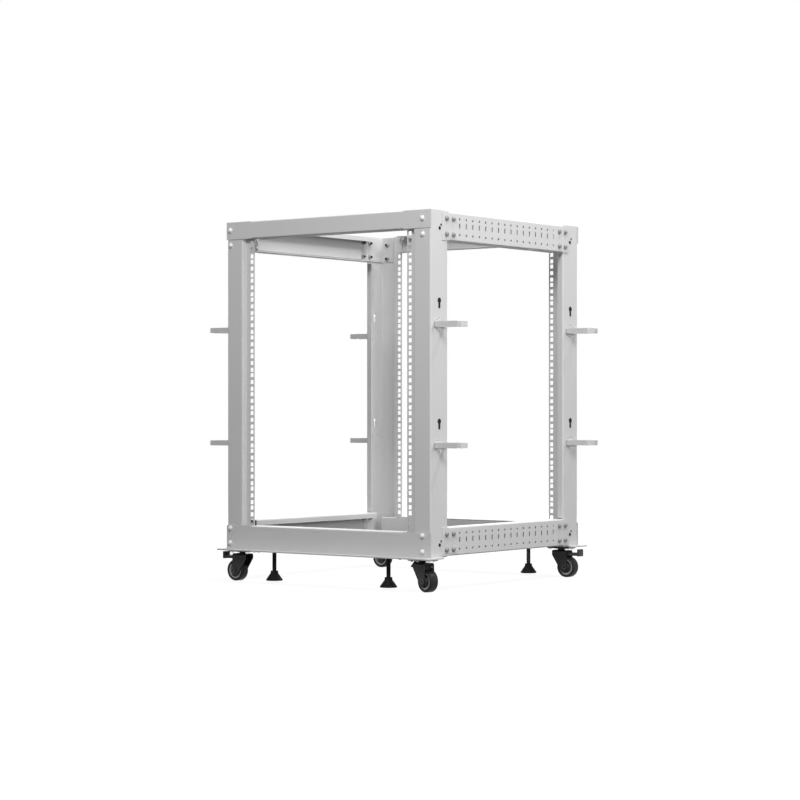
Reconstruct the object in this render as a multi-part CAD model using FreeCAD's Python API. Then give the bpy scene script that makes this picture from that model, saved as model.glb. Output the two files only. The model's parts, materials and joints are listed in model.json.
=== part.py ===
import FreeCAD, Part
import math
import os

from FreeCAD import Placement, Rotation, Vector

# Open-frame equipment rack on casters, in millimetres.
# X runs to the right, Y to the rear, Z up. The origin is on the floor under the middle of the frame.

# Rack standard: one unit of height with three holes, and the clear bay with a hole column at each edge
UNIT_HEIGHT = 44.45
UNIT_COUNT = 15
UNIT_HOLE_EDGE = 6.35
BAY_WIDTH = 450.0
COLUMN_EDGE = 7.55
SQUARE_HOLE = 9.5
BAY_GAP_BELOW = 4.2
BAY_GAP_ABOVE = 2.75

# Frame over its rails, and the folded sheet it is made of
FRAME_WIDTH = 600.0
FRAME_DEPTH = 600.0
POST_SHEET = 2.0
RAIL_SHEET = 1.5
BEND = 1.5

# Posts: a folded section with a stepped hole flange and a return lip
POST_FLANGE = 24.0
POST_STEP = 11.5
POST_STEP_RUN = 3.0
POST_DEPTH = 64.0
POST_LIP = 15.0
LIP_NOTCH_GAP = 3.0

# Front and rear rails: channels with the web over the post faces
TOP_RAIL_HEIGHT = 40.5
BOTTOM_RAIL_HEIGHT = 55.4
CROSS_FLANGE = 38.0
CROSS_FLANGE_GAP = 1.0

# Side rails: lipped channels with a grid of holes for setting the depth
SIDE_RAIL_LAP = 22.0
SIDE_RAIL_HEIGHT = 63.5
SIDE_RAIL_INSET = 2.0
SIDE_FLANGE = 36.0
SIDE_FLANGE_GAP = 2.0
SIDE_LIP = 13.0
GRID_PITCH = 25.4
GRID_MARGIN = 15.0
BOLTED_COLUMNS = 2
GRID_ROW = 17.5
GRID_HOLE = 5.5
GRID_SLOT_WIDTH = 4.5
GRID_SLOT_LENGTH = 11.0
GRID_SLOT_RISE = 3.0
LINER_DEPTH = 10.0
LINER_GAP = 3.0
LINER_END_GAP = 1.5

# Corner brackets inside each end of the side rails
BRACKET_SHEET = 2.0
BRACKET_GAP = 1.75
BRACKET_TAB_GAP = 6.0
BRACKET_JOG_RUN = 4.0
BRACKET_LAP = 27.0

# Cable hooks and the holes beside them in the posts' side walls
HOOK_HEIGHTS = (325.0, 593.0)
HOOK_BAND = 12.0
HOOK_SHEET = 2.0
HOOK_WIDTH = 41.0
HOOK_REACH = 65.0
HOOK_GAP = 11.0
HOOK_BEND = 3.0
RING_RADIUS = 14.0
RING_HOLE = 3.6
RING_ANGLES = (45, 90, 135, 225, 270, 315)
KEYHOLE_RISE = 53.0
KEYHOLE_HEAD = 9.5
KEYHOLE_TAIL = 17.0
KEYHOLE_TAIL_WIDTH = 5.0
END_HOLE = 7.0
END_HOLE_SETBACK = 33.5
END_HOLE_DROP = 6.0
PILOT_HOLE = 4.0
PILOT_RUN = 5.0
PILOT_RISE = 8.0

# Base plates under the front and rear rails
PLATE_THICKNESS = 3.0
PLATE_WIDTH = 67.0
PLATE_SIDE_REACH = 13.0
PLATE_FRONT_REACH = 27.0
PLATE_CORNER = 12.0

# Casters: top plate with its king pin, fork, wheel and brake pedal
CASTER_INSET = 36.0
CASTER_SETBACK = 19.0
CASTER_TRAIL = 18.0
FRONT_RIGHT_TURN = -15.0
CASTER_PLATE_LENGTH = 60.0
CASTER_PLATE_WIDTH = 42.0
CASTER_PLATE_CORNER = 6.0
CASTER_PLATE_SHEET = 2.5
RACE_RADIUS = 9.0
RACE_DEPTH = 5.6
RACE_GAP = 0.3
KING_PIN_RADIUS = 5.0
KING_HEAD_RADIUS = 7.0
KING_HEAD_DEPTH = 3.0
RUNNING_GAP = 0.05
FORK_SHEET = 2.5
FORK_BEND = 2.0
FORK_SIDE_GAP = 2.0
FORK_TOE = 18.0
FORK_HEEL = 22.0
FORK_SKIRT = 9.0
FORK_BOSS = 11.0
FORK_BOSS_SHIFT = 4.0
CROWN_CLEARANCE = 12.5
WHEEL_RADIUS = 25.0
TYRE_WIDTH = 20.0
TYRE_DEPTH = 6.0
TYRE_SHOULDER = 4.0
RIM_DEPTH = 4.0
RIM_INSET = 1.0
HUB_RADIUS = 8.5
HUB_GAP = 1.0
WHEEL_WEB = 9.0
AXLE_RADIUS = 4.0
AXLE_BORE = 2.2
AXLE_HEAD_RADIUS = 6.5
AXLE_HEAD = 2.5
PEDAL_SIDE_GAP = 3.0
PEDAL_PIN_RADIUS = 2.0
PEDAL_PIN_EDGE = 6.0
PEDAL_EYE_RADIUS = 4.0
PEDAL_TYRE_GAP = 1.5
PEDAL_ARM_RISE = 1.0
PEDAL_ARM = 7.5
PEDAL_REACH = 56.0
PEDAL_TREAD = 5.0
PEDAL_TREAD_WIDTH = 20.0
PEDAL_TREAD_DROP = 1.0
PEDAL_TREAD_HEIGHT = 17.0
PEDAL_TREAD_CORNER = 2.0

# Levelling feet beside the casters
FOOT_INSET = 132.0
FOOT_FLOOR_GAP = 5.3
FOOT_RADIUS = 19.5
FOOT_RIM = 3.0
FOOT_HEIGHT = 23.0
FOOT_COLLAR_RADIUS = 8.8
FOOT_COLLAR = 5.4
STEM_RADIUS = 5.0
STEM_LENGTH = 80.0

# Heights in a caster, from the wheel up
wheel_top = 2 * WHEEL_RADIUS
crown_bottom = wheel_top + CROWN_CLEARANCE
crown_top = crown_bottom + FORK_SHEET
race_bottom = crown_top + RACE_GAP
caster_plate_bottom = race_bottom + RACE_DEPTH
caster_top = caster_plate_bottom + CASTER_PLATE_SHEET

# Heights in the frame
frame_bottom = caster_top + PLATE_THICKNESS
first_unit = frame_bottom + BOTTOM_RAIL_HEIGHT + BAY_GAP_BELOW
frame_top = first_unit + UNIT_COUNT * UNIT_HEIGHT + BAY_GAP_ABOVE + TOP_RAIL_HEIGHT
low_rail_bottom = frame_bottom + SIDE_RAIL_INSET
high_rail_bottom = frame_top - SIDE_RAIL_INSET - SIDE_RAIL_HEIGHT

# Faces of the posts, which lie inside the rails by the rails' sheet
post_x = FRAME_WIDTH / 2 - RAIL_SHEET
post_y = FRAME_DEPTH / 2 - RAIL_SHEET
post_back = post_y - POST_DEPTH
wall_middle = post_y - POST_DEPTH / 2
bay_edge = BAY_WIDTH / 2
face_edge = bay_edge + POST_FLANGE + POST_STEP_RUN

# Places and widths of the casters and feet
caster_x = FRAME_WIDTH / 2 - CASTER_INSET
caster_y = FRAME_DEPTH / 2 - CASTER_SETBACK
foot_x = FRAME_WIDTH / 2 - FOOT_INSET
fork_inner = TYRE_WIDTH / 2 + FORK_SIDE_GAP
fork_outer = fork_inner + FORK_SHEET
wheel_centre = Vector(caster_x + CASTER_TRAIL, -caster_y, WHEEL_RADIUS)
pivot_height = wheel_top + PEDAL_TYRE_GAP + PEDAL_EYE_RADIUS
pedal_pivot = Vector(caster_x + FORK_HEEL - PEDAL_PIN_EDGE, -caster_y, pivot_height)


def left_of(direction):
    """Unit vector to the left of a direction in the XY plane."""
    return Vector(-direction.y, direction.x, 0)


def folded_sheet(corners, sheet, bend):
    """Face of a sheet folded along the corners, with its thickness to the left of the path."""
    points = [Vector(x, y, 0) for x, y in corners]
    ways = [(after - before).normalize() for before, after in zip(points, points[1:])]
    edges = []
    ends = []
    for shift in (0, sheet):
        here = points[0] + left_of(ways[0]) * shift
        ends.append(here)
        for corner, way, next_way in zip(points[1:-1], ways, ways[1:]):
            turn = math.atan2(way.cross(next_way).z, way.dot(next_way))
            side = math.copysign(1, turn)
            radius = bend + sheet - shift if turn > 0 else bend + shift
            mitre = corner + (left_of(way) + left_of(next_way)) * (shift / (1 + way.dot(next_way)))
            run_out = radius * math.tan(abs(turn) / 2)
            start = mitre - way * run_out
            end = mitre + next_way * run_out
            centre = start + left_of(way) * (side * radius)
            middle = centre + (mitre - centre).normalize() * radius
            edges.append(Part.LineSegment(here, start).toShape())
            edges.append(Part.Arc(start, middle, end).toShape())
            here = end
        last = points[-1] + left_of(ways[-1]) * shift
        edges.append(Part.LineSegment(here, last).toShape())
        ends.append(last)
    edges.append(Part.LineSegment(ends[0], ends[2]).toShape())
    edges.append(Part.LineSegment(ends[1], ends[3]).toShape())
    return Part.Face(Part.Wire(Part.__sortEdges__(edges)))


def polygon(points):
    """Face through points given as vectors."""
    return Part.Face(Part.makePolygon(points + points[:1]))


def box(low, high):
    """Block between two corners."""
    size = [b - a for a, b in zip(low, high)]
    return Part.makeBox(*size, Vector(*low))


def turned(profile, axis_point, axis):
    """Solid of revolution from radius and height pairs about an axis."""
    section = polygon([Vector(radius, 0, height) for radius, height in profile])
    solid = section.revolve(Vector(0, 0, 0), Vector(0, 0, 1), 360)
    solid.Placement = Placement(axis_point, Rotation(Vector(0, 0, 1), axis))
    return solid


def rounded_plate(low, high, corner):
    """Flat block with rounded upright edges."""
    plate = box(low, high)
    upright = [edge for edge in plate.Edges if abs(edge.tangentAt(edge.FirstParameter).z) > 0.5]
    return plate.makeFillet(corner, upright)


def four_corners(shape):
    """The front right shape and its mirror images, by corner name."""
    left = shape.mirror(Vector(), Vector(1, 0, 0))
    return {
        "front_right": shape,
        "front_left": left,
        "rear_right": shape.mirror(Vector(), Vector(0, 1, 0)),
        "rear_left": left.mirror(Vector(), Vector(0, 1, 0)),
    }


def save(name, shape):
    """Write one node."""
    shape.exportStep(f"parts/{name}.step")


def save_corners(name, shape):
    """Write one node for each corner."""
    for corner, copy in four_corners(shape).items():
        save(f"{name}_{corner}", copy)


def save_casters(name, shape):
    """Write one node for each caster, with the front right one swivelled as it stands."""
    copies = four_corners(shape)
    copies["front_right"] = shape.rotated(Vector(caster_x, -caster_y, 0), Vector(0, 0, 1), FRONT_RIGHT_TURN)
    for corner, copy in copies.items():
        save(f"{name}_{corner}", copy)


def side_hole(y, z, diameter):
    """Cutter for a round hole through the right post's side wall."""
    inside = Vector(post_x - 2 * POST_SHEET, y, z)
    return Part.makeCylinder(diameter / 2, 3 * POST_SHEET, inside, Vector(1, 0, 0))


def post(pilot_run):
    """Front right post: folded section, square rack holes, side wall holes and lip notches."""
    flange_y = post_y - POST_STEP
    section = folded_sheet(
        [
            (bay_edge, -flange_y),
            (face_edge - POST_STEP_RUN, -flange_y),
            (face_edge, -post_y),
            (post_x, -post_y),
            (post_x, -post_back),
            (post_x - POST_LIP, -post_back),
        ],
        POST_SHEET,
        BEND,
    )
    section.translate(Vector(0, 0, frame_bottom))
    body = section.extrude(Vector(0, 0, frame_top - frame_bottom))
    cutters = []
    for unit in range(UNIT_COUNT):
        for rise in (UNIT_HOLE_EDGE, UNIT_HEIGHT / 2, UNIT_HEIGHT - UNIT_HOLE_EDGE):
            x = bay_edge + COLUMN_EDGE - SQUARE_HOLE / 2
            z = first_unit + unit * UNIT_HEIGHT + rise - SQUARE_HOLE / 2
            low = (x, -flange_y - POST_SHEET, z)
            cutters.append(box(low, (x + SQUARE_HOLE, -flange_y + 2 * POST_SHEET, z + SQUARE_HOLE)))
    for height in HOOK_HEIGHTS:
        for angle in RING_ANGLES:
            y = -wall_middle + RING_RADIUS * math.cos(math.radians(angle))
            z = height + RING_RADIUS * math.sin(math.radians(angle))
            cutters.append(side_hole(y, z, RING_HOLE))
        head = height + KEYHOLE_RISE
        cutters.append(side_hole(-wall_middle, head, KEYHOLE_HEAD))
        cutters.append(
            box(
                (post_x - 2 * POST_SHEET, -wall_middle - KEYHOLE_TAIL_WIDTH / 2, head - KEYHOLE_TAIL),
                (post_x + POST_SHEET, -wall_middle + KEYHOLE_TAIL_WIDTH / 2, head),
            )
        )
    notch_front = -post_back - POST_SHEET - BEND
    for rail_bottom in (low_rail_bottom, high_rail_bottom):
        rail_top = rail_bottom + SIDE_RAIL_HEIGHT
        y = -post_y + END_HOLE_SETBACK
        z = (rail_bottom + rail_top) / 2 - END_HOLE_DROP
        cutters.append(side_hole(y, z, END_HOLE))
        cutters.append(side_hole(y + pilot_run, z + PILOT_RISE, PILOT_HOLE))
        cutters.append(
            box(
                (post_x - POST_LIP - POST_SHEET, notch_front, rail_bottom - LIP_NOTCH_GAP),
                (post_x - POST_SHEET, -post_back + POST_SHEET, rail_top + LIP_NOTCH_GAP),
            )
        )
    return body.cut(cutters)


def cross_rail(bottom, height):
    """Front rail: a channel between the posts, with its web carried on over the post faces."""
    outer = -FRAME_DEPTH / 2
    half_flange = bay_edge - CROSS_FLANGE_GAP
    section = folded_sheet(
        [
            (outer + CROSS_FLANGE, bottom + height),
            (outer, bottom + height),
            (outer, bottom),
            (outer + CROSS_FLANGE, bottom),
        ],
        RAIL_SHEET,
        BEND,
    )
    section.Placement = Placement(Vector(-half_flange, 0, 0), Rotation(Vector(1, 1, 1), 120))
    rail = section.extrude(Vector(2 * half_flange, 0, 0))
    for low, high in ((-FRAME_WIDTH / 2, -half_flange), (half_flange, FRAME_WIDTH / 2)):
        rail = rail.fuse(box((low, outer, bottom), (high, outer + RAIL_SHEET, bottom + height)))
    return rail.removeSplitter()


def side_rail(bottom):
    """Right side rail: a lipped channel between the posts, its web lapping them, with a hole grid."""
    outer = FRAME_WIDTH / 2
    half_flange = post_back - SIDE_FLANGE_GAP
    top = bottom + SIDE_RAIL_HEIGHT
    section = folded_sheet(
        [
            (outer - SIDE_FLANGE, bottom),
            (outer, bottom),
            (outer, top),
            (outer - SIDE_FLANGE, top),
            (outer - SIDE_FLANGE, top - SIDE_LIP),
        ],
        RAIL_SHEET,
        BEND,
    )
    section.Placement = Placement(Vector(0, half_flange, 0), Rotation(Vector(1, 0, 0), 90))
    rail = section.extrude(Vector(0, -2 * half_flange, 0))
    half_length = post_back + SIDE_RAIL_LAP
    for low, high in ((-half_length, -half_flange), (half_flange, half_length)):
        rail = rail.fuse(box((outer - RAIL_SHEET, low, bottom), (outer, high, top)))
    middle = bottom + SIDE_RAIL_HEIGHT / 2
    inside = outer - 2 * RAIL_SHEET
    across = Vector(1, 0, 0)
    cutters = []
    columns = 1 + int((2 * half_length - 2 * GRID_MARGIN) / GRID_PITCH)
    for column in range(BOLTED_COLUMNS, columns - BOLTED_COLUMNS):
        y = (column - (columns - 1) / 2) * GRID_PITCH
        for z in (middle - GRID_ROW, middle + GRID_ROW):
            cutters.append(Part.makeCylinder(GRID_HOLE / 2, 3 * RAIL_SHEET, Vector(inside, y, z), across))
        slot_middle = middle + GRID_SLOT_RISE
        cutters.append(
            box(
                (inside, y - GRID_SLOT_WIDTH / 2, slot_middle - GRID_SLOT_LENGTH / 2),
                (inside + 3 * RAIL_SHEET, y + GRID_SLOT_WIDTH / 2, slot_middle + GRID_SLOT_LENGTH / 2),
            )
        )
    return rail.removeSplitter().cut(cutters)


def rail_liner(rail_bottom):
    """Right liner: a plain channel set inside the side rail's web between the brackets, behind the grid."""
    seat = FRAME_WIDTH / 2 - RAIL_SHEET
    inner = seat - LINER_DEPTH
    low = rail_bottom + RAIL_SHEET + LINER_GAP
    high = rail_bottom + SIDE_RAIL_HEIGHT - RAIL_SHEET - LINER_GAP
    section = folded_sheet([(seat, high), (inner, high), (inner, low), (seat, low)], RAIL_SHEET, BEND)
    half_length = post_back - POST_SHEET - BRACKET_JOG_RUN - BRACKET_LAP - LINER_END_GAP
    section.Placement = Placement(Vector(0, half_length, 0), Rotation(Vector(1, 0, 0), 90))
    return section.extrude(Vector(0, -2 * half_length, 0))


def corner_bracket(rail_bottom):
    """Front right bracket: a tab inside the post face and a leg that steps out to the side rail's web."""
    tab_y = -(post_y - POST_SHEET)
    leg_x = post_x - POST_SHEET
    jog = -post_back + POST_SHEET
    section = folded_sheet(
        [
            (face_edge + BRACKET_TAB_GAP, tab_y),
            (leg_x, tab_y),
            (leg_x, jog),
            (post_x, jog + BRACKET_JOG_RUN),
            (post_x, jog + BRACKET_JOG_RUN + BRACKET_LAP),
        ],
        BRACKET_SHEET,
        BEND,
    )
    rise = RAIL_SHEET + BRACKET_GAP
    section.translate(Vector(0, 0, rail_bottom + rise))
    return section.extrude(Vector(0, 0, SIDE_RAIL_HEIGHT - 2 * rise))


def cable_hook(height):
    """Right hook: a band bent into an open ring, with its base flat on the post's side wall."""
    outer = post_x + HOOK_REACH
    front = -wall_middle - HOOK_WIDTH / 2
    rear = front + HOOK_WIDTH
    section = folded_sheet(
        [
            (outer, front + HOOK_GAP),
            (outer, rear),
            (post_x, rear),
            (post_x, front),
            (outer, front),
        ],
        HOOK_SHEET,
        HOOK_BEND,
    )
    section.translate(Vector(0, 0, height - HOOK_BAND / 2))
    return section.extrude(Vector(0, 0, HOOK_BAND))


def base_plate():
    """Front base plate: a long flat bar with rounded corners, bored for the levelling stems."""
    front = -FRAME_DEPTH / 2 - PLATE_FRONT_REACH
    half_length = FRAME_WIDTH / 2 + PLATE_SIDE_REACH
    plate = rounded_plate(
        (-half_length, front, caster_top),
        (half_length, front + PLATE_WIDTH, frame_bottom),
        PLATE_CORNER,
    )
    return plate.cut(stem_bores(caster_top, PLATE_THICKNESS))


def stem_bores(bottom, thickness):
    """Cutters for the two front levelling stems through a sheet."""
    radius = STEM_RADIUS + RUNNING_GAP
    low = bottom - thickness
    return [Part.makeCylinder(radius, 3 * thickness, Vector(x, -caster_y, low)) for x in (-foot_x, foot_x)]


def levelling_foot():
    """Front right foot: a bell with a collar on a plain stand-in for the threaded stem."""
    collar_bottom = FOOT_HEIGHT - FOOT_COLLAR
    profile = [
        (0, 0),
        (FOOT_RADIUS, 0),
        (FOOT_RADIUS, FOOT_RIM),
        (FOOT_COLLAR_RADIUS, collar_bottom),
        (FOOT_COLLAR_RADIUS, FOOT_HEIGHT),
        (STEM_RADIUS, FOOT_HEIGHT),
        (STEM_RADIUS, FOOT_HEIGHT + STEM_LENGTH),
        (0, FOOT_HEIGHT + STEM_LENGTH),
    ]
    return turned(profile, Vector(foot_x, -caster_y, FOOT_FLOOR_GAP), Vector(0, 0, 1))


def caster_plate():
    """Front right caster's fixed part: top plate, ball race and the king pin that holds the fork."""
    plate = rounded_plate(
        (caster_x - CASTER_PLATE_LENGTH / 2, -caster_y - CASTER_PLATE_WIDTH / 2, caster_plate_bottom),
        (caster_x + CASTER_PLATE_LENGTH / 2, -caster_y + CASTER_PLATE_WIDTH / 2, caster_top),
        CASTER_PLATE_CORNER,
    )
    head_top = crown_bottom - RACE_GAP
    stack = turned(
        [
            (0, head_top - KING_HEAD_DEPTH),
            (KING_HEAD_RADIUS, head_top - KING_HEAD_DEPTH),
            (KING_HEAD_RADIUS, head_top),
            (KING_PIN_RADIUS, head_top),
            (KING_PIN_RADIUS, race_bottom),
            (RACE_RADIUS, race_bottom),
            (RACE_RADIUS, caster_plate_bottom),
            (0, caster_plate_bottom),
        ],
        Vector(caster_x, -caster_y, 0),
        Vector(0, 0, 1),
    )
    return plate.fuse(stack).removeSplitter()


def tangent_point(point, centre, radius, side):
    """Where a line from a point touches a circle in the XZ plane, on its side towards +X or -X."""
    out = point - centre
    angle = math.degrees(math.acos(radius / out.Length))
    spoke = Rotation(Vector(0, 1, 0), side * angle).multVec(out.normalize())
    return centre + spoke * radius


def leg_outline():
    """Outline of a fork's leg: an upright skirt under the crown, narrowing to a round boss at the axle."""
    centre = Vector(wheel_centre.x - FORK_BOSS_SHIFT, 0, wheel_centre.z)
    toe = caster_x - FORK_TOE
    heel = caster_x + FORK_HEEL
    skirt = crown_bottom - FORK_SKIRT
    toe_touch = tangent_point(Vector(toe, 0, skirt), centre, FORK_BOSS, -1)
    heel_touch = tangent_point(Vector(heel, 0, skirt), centre, FORK_BOSS, 1)
    corners = [
        toe_touch,
        Vector(toe, 0, skirt),
        Vector(toe, 0, crown_top),
        Vector(heel, 0, crown_top),
        Vector(heel, 0, skirt),
        heel_touch,
    ]
    edges = [Part.LineSegment(start, end).toShape() for start, end in zip(corners, corners[1:])]
    edges.append(Part.Arc(heel_touch, centre - Vector(0, 0, FORK_BOSS), toe_touch).toShape())
    return Part.Face(Part.Wire(edges))


def across_fork(radius, middle, half_length):
    """Cylinder across the fork, about a point in its middle plane."""
    return Part.makeCylinder(radius, 2 * half_length, middle - Vector(0, half_length, 0), Vector(0, 1, 0))


def caster_fork():
    """Front right fork: a folded channel over the wheel, its legs cut to their outline and bored."""
    floor = WHEEL_RADIUS - FORK_BOSS
    channel = folded_sheet(
        [(fork_outer, floor), (fork_outer, crown_top), (-fork_outer, crown_top), (-fork_outer, floor)],
        FORK_SHEET,
        FORK_BEND,
    )
    toe = Vector(caster_x - FORK_TOE, -caster_y, 0)
    channel.Placement = Placement(toe, Rotation(Vector(1, 1, 1), 120))
    channel = channel.extrude(Vector(FORK_TOE + CASTER_TRAIL + FORK_BOSS + FORK_HEEL, 0, 0))
    outline = leg_outline()
    outline.translate(Vector(0, -caster_y - fork_outer, 0))
    legs = outline.extrude(Vector(0, 2 * fork_outer, 0))
    bores = [
        Part.makeCylinder(KING_PIN_RADIUS + RUNNING_GAP, crown_top, Vector(caster_x, -caster_y, 0)),
        across_fork(AXLE_RADIUS + RUNNING_GAP, wheel_centre, fork_outer),
        across_fork(PEDAL_PIN_RADIUS + RUNNING_GAP, pedal_pivot, fork_outer),
    ]
    return channel.common(legs).cut(bores).removeSplitter()


def caster_axle():
    """Front right axle: a hollow rivet through the fork with a head outside each leg."""
    end = fork_outer + AXLE_HEAD
    profile = [
        (AXLE_BORE, -end),
        (AXLE_HEAD_RADIUS, -end),
        (AXLE_HEAD_RADIUS, -fork_outer),
        (AXLE_RADIUS, -fork_outer),
        (AXLE_RADIUS, fork_outer),
        (AXLE_HEAD_RADIUS, fork_outer),
        (AXLE_HEAD_RADIUS, end),
        (AXLE_BORE, end),
    ]
    return turned(profile, wheel_centre, Vector(0, 1, 0))


def caster_wheel():
    """Front right wheel centre: hub, thin web and rim."""
    rim_outer = WHEEL_RADIUS - TYRE_DEPTH
    rim_inner = rim_outer - RIM_DEPTH
    hub = fork_inner - HUB_GAP
    web = WHEEL_WEB / 2
    rim = TYRE_WIDTH / 2 - RIM_INSET
    half_profile = [
        (AXLE_RADIUS + RUNNING_GAP, hub),
        (HUB_RADIUS, hub),
        (HUB_RADIUS, web),
        (rim_inner, web),
        (rim_inner, rim),
        (rim_outer, rim),
    ]
    profile = half_profile + [(radius, -height) for radius, height in reversed(half_profile)]
    return turned(profile, wheel_centre, Vector(0, 1, 0))


def caster_tyre():
    """Front right tyre: a ring with rounded shoulders."""
    half = TYRE_WIDTH / 2
    seat = WHEEL_RADIUS - TYRE_DEPTH
    ring = turned(
        [(seat, -half), (WHEEL_RADIUS, -half), (WHEEL_RADIUS, half), (seat, half)],
        wheel_centre,
        Vector(0, 1, 0),
    )
    circles = [edge for edge in ring.Edges if edge.Closed]
    shoulders = [edge for edge in circles if edge.Curve.Radius > WHEEL_RADIUS - TYRE_DEPTH / 2]
    return ring.makeFillet(TYRE_SHOULDER, shoulders)


def brake_pedal():
    """Front right brake pedal: a lever on a pin across the fork, with an upright tread at its outer end."""
    half = fork_inner - PEDAL_SIDE_GAP
    arm_bottom = wheel_top + PEDAL_TYRE_GAP + PEDAL_ARM_RISE
    tip = caster_x + PEDAL_REACH
    tread_low = arm_bottom - PEDAL_TREAD_DROP
    arm = box(
        (pedal_pivot.x, -caster_y - half, arm_bottom),
        (tip - PEDAL_TREAD, -caster_y + half, arm_bottom + PEDAL_ARM),
    )
    tread = box(
        (tip - PEDAL_TREAD, -caster_y - PEDAL_TREAD_WIDTH / 2, tread_low),
        (tip, -caster_y + PEDAL_TREAD_WIDTH / 2, tread_low + PEDAL_TREAD_HEIGHT),
    )
    along = [edge for edge in tread.Edges if edge.BoundBox.XLength > PEDAL_TREAD / 2]
    tread = tread.makeFillet(PEDAL_TREAD_CORNER, along)
    eye = across_fork(PEDAL_EYE_RADIUS, pedal_pivot, half)
    pin = across_fork(PEDAL_PIN_RADIUS, pedal_pivot, fork_outer)
    return arm.fuse([eye, pin, tread]).removeSplitter()


def save_front_and_rear(name, shape):
    """Write a front piece and its mirror image at the rear."""
    save(f"{name}_front", shape)
    save(f"{name}_rear", shape.mirror(Vector(), Vector(0, 1, 0)))


def save_left_and_right(name, shape):
    """Write a right piece and its mirror image on the left."""
    save(f"{name}_right", shape)
    save(f"{name}_left", shape.mirror(Vector(), Vector(1, 0, 0)))


os.makedirs("parts", exist_ok=True)

# Frame
for run, corners in ((PILOT_RUN, ("front_right", "rear_left")), (-PILOT_RUN, ("front_left", "rear_right"))):
    posts = four_corners(post(run))
    for corner in corners:
        save(f"post_{corner}", posts[corner])
save_front_and_rear("top_rail", cross_rail(frame_top - TOP_RAIL_HEIGHT, TOP_RAIL_HEIGHT))
bottom_rail = cross_rail(frame_bottom, BOTTOM_RAIL_HEIGHT)
save_front_and_rear("bottom_rail", bottom_rail.cut(stem_bores(frame_bottom, RAIL_SHEET)))
save_left_and_right("side_rail_top", side_rail(high_rail_bottom))
save_left_and_right("side_rail_bottom", side_rail(low_rail_bottom))
for level, rail_bottom in (("top", high_rail_bottom), ("bottom", low_rail_bottom)):
    liner = rail_liner(rail_bottom)
    save(f"rail_liners_{level}", Part.makeCompound([liner, liner.mirror(Vector(), Vector(1, 0, 0))]))
    brackets = four_corners(corner_bracket(rail_bottom)).values()
    save(f"corner_brackets_{level}", Part.makeCompound(list(brackets)))
save_corners("cable_hooks", Part.makeCompound([cable_hook(height) for height in HOOK_HEIGHTS]))
save_front_and_rear("base_plate", base_plate())

# Feet and casters
save_corners("levelling_foot", levelling_foot())
save("caster_plates", Part.makeCompound(list(four_corners(caster_plate()).values())))
save_casters("caster_fork", caster_fork())
save_casters("caster_axle", caster_axle())
save_casters("caster_wheel", caster_wheel())
save_casters("caster_tyre", caster_tyre())
pedals = four_corners(brake_pedal())
for corner in ("front_left", "rear_right"):
    save(f"brake_pedal_{corner}", pedals[corner])
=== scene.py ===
import json
import math

import bmesh
import bpy
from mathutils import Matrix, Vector


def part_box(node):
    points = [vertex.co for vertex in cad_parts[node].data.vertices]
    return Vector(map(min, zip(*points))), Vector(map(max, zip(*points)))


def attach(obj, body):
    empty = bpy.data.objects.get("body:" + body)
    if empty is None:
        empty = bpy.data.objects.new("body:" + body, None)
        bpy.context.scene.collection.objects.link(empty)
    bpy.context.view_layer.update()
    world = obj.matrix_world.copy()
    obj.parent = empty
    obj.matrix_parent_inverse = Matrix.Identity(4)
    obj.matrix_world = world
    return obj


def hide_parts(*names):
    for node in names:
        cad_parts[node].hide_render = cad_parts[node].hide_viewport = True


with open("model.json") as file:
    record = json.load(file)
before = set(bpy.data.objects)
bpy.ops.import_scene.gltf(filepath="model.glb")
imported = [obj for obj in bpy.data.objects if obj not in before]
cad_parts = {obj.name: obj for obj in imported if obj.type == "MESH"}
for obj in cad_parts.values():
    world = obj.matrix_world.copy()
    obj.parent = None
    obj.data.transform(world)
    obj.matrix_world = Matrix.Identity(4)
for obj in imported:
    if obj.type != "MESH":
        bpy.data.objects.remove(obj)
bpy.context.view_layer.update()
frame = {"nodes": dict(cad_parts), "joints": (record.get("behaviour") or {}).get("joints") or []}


# Posts: four uprights of folded sheet steel, punched along the hole flange with square holes.
# They are powder coated pale grey, which bakes out matt with a fine orange peel.
# The rails are bolted over them, so the coat is the same on every folded piece of the frame.
nodes = frame["nodes"]
corners = ("front_right", "front_left", "rear_right", "rear_left")


def add_node(tree, kind, values=None, links=None, **settings):
    """New node in a tree, with its settings, its input values and the sockets that feed it."""
    node = tree.nodes.new(kind)
    for name, value in settings.items():
        setattr(node, name, value)
    for name, value in (values or {}).items():
        node.inputs[name].default_value = value
    for name, socket in (links or {}).items():
        tree.links.new(socket, node.inputs[name])
    return node


def new_group(name, inputs, outputs):
    """Shader group with named sockets, with its tree, input node and output node."""
    tree = bpy.data.node_groups.new(name, "ShaderNodeTree")
    for label, kind in inputs.items():
        tree.interface.new_socket(label, in_out="INPUT", socket_type=kind)
    for label, kind in outputs.items():
        tree.interface.new_socket(label, in_out="OUTPUT", socket_type=kind)
    return tree, add_node(tree, "NodeGroupInput"), add_node(tree, "NodeGroupOutput")


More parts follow.
